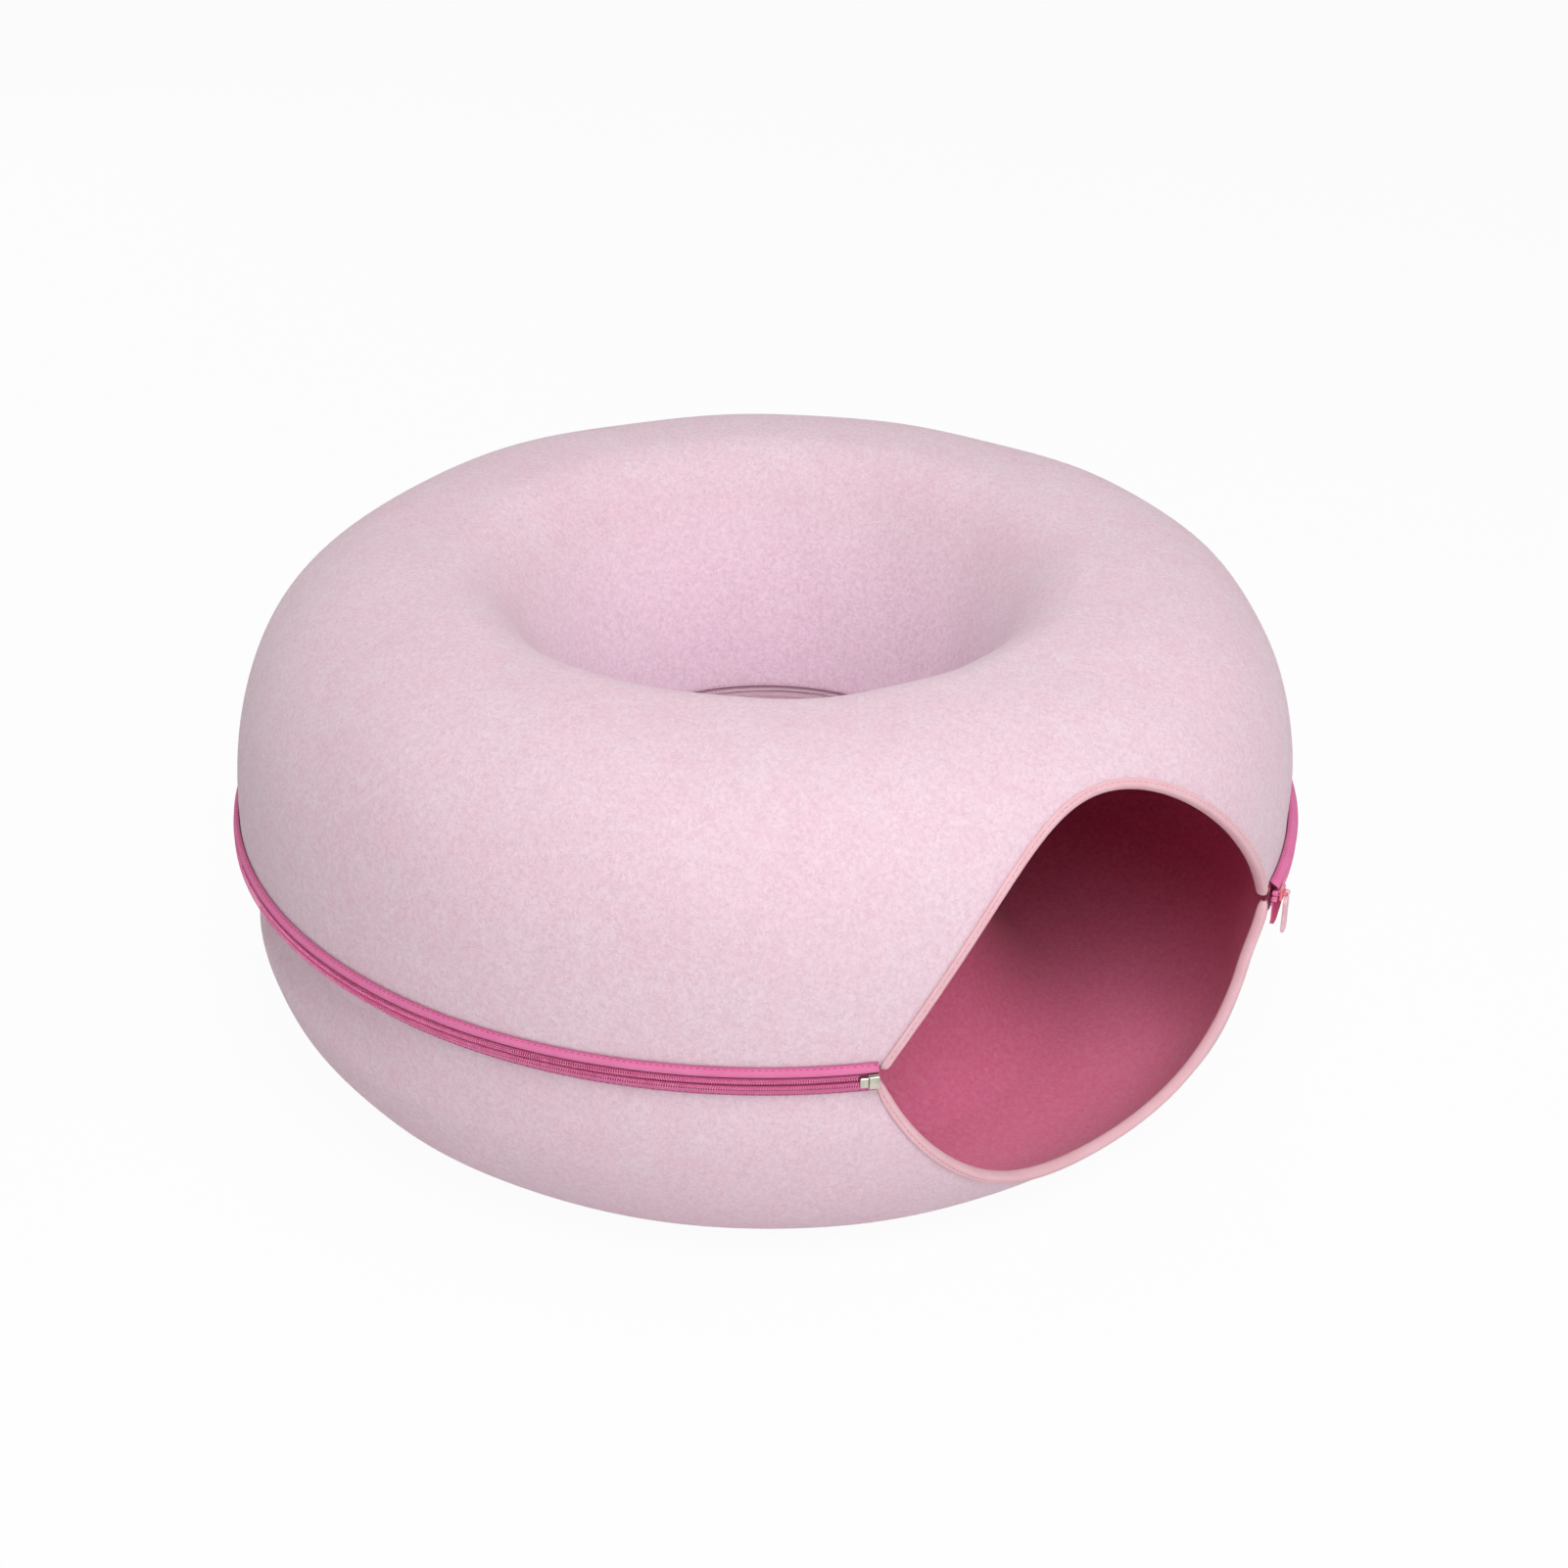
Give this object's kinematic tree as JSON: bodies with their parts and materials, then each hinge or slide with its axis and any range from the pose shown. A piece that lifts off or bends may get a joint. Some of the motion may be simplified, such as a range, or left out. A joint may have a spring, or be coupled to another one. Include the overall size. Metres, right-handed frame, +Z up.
{
  "type": "donut cat tunnel",
  "caption": "Ring-shaped felt cat tunnel in two zipped halves, with a bound oval entrance in the rim and an open well through the middle.",
  "frame": {"origin": "centre of the ring, on the floor that the lower half stands on", "axes": "+Z up along the well's axis; the entrance faces between +X and -Y, at azimuth -45 degrees"},
  "size_m": [0.595, 0.595, 0.2785],
  "materials": {
    "felt": "soft matt felt",
    "binding": "woven tape",
    "tape": "woven zip tape",
    "coil": "satin nylon",
    "well_tape": "woven zip tape",
    "well_coil": "satin nylon",
    "slider": "semi-gloss paint",
    "retainer": "plated"
  },
  "bodies": {
    "lower_half": {"lower_shell": "felt", "lower_entrance_binding": "binding", "rim_lower_tape": "tape", "rim_lower_coil": "coil", "rim_lower_top_stop": "coil", "rim_retainer_box": "retainer", "well_lower_tape": "well_tape", "well_lower_coil": "well_coil", "well_lower_top_stop": "well_coil", "well_retainer_box": "retainer"},
    "upper_half": {"upper_shell": "felt", "upper_entrance_binding": "binding", "rim_upper_tape": "tape", "rim_upper_coil": "coil", "rim_upper_top_stop": "coil", "rim_insertion_pin": "retainer", "well_upper_tape": "well_tape", "well_upper_coil": "well_coil", "well_upper_top_stop": "well_coil", "well_insertion_pin": "retainer"},
    "rim_slider_body": {"rim_slider": "slider"},
    "rim_pull_body": {"rim_pull": "slider"},
    "well_slider_body": {"well_slider": "slider"},
    "well_pull_body": {"well_pull": "slider"}
  },
  "joints": [
    {"name": "upper_half_lift", "type": "slide", "parent": "lower_half", "child": "upper_half", "axis": [0, 0, 1], "range_m": [0, 0.2]},
    {"name": "rim_slider_travel", "type": "hinge", "parent": "lower_half", "child": "rim_slider_body", "pos_m": [0, 0, 0.1385], "axis": [0, 0, 1], "range_deg": [0, 301.5]},
    {"name": "rim_pull_swing", "type": "hinge", "parent": "rim_slider_body", "child": "rim_pull_body", "pos_m": [0.2894, -0.08351, 0.1385], "axis": [-0.2772, -0.9608, 0], "range_deg": [-8, 180]},
    {"name": "well_slider_travel", "type": "hinge", "parent": "lower_half", "child": "well_slider_body", "pos_m": [0, 0, 0.1385], "axis": [0, 0, 1], "range_deg": [0, 343.1]},
    {"name": "well_pull_swing", "type": "hinge", "parent": "well_slider_body", "child": "well_pull_body", "pos_m": [0.08222, -0.06522, 0.1385], "axis": [0.6215, 0.7835, 0], "range_deg": [-3, 180]}
  ]
}
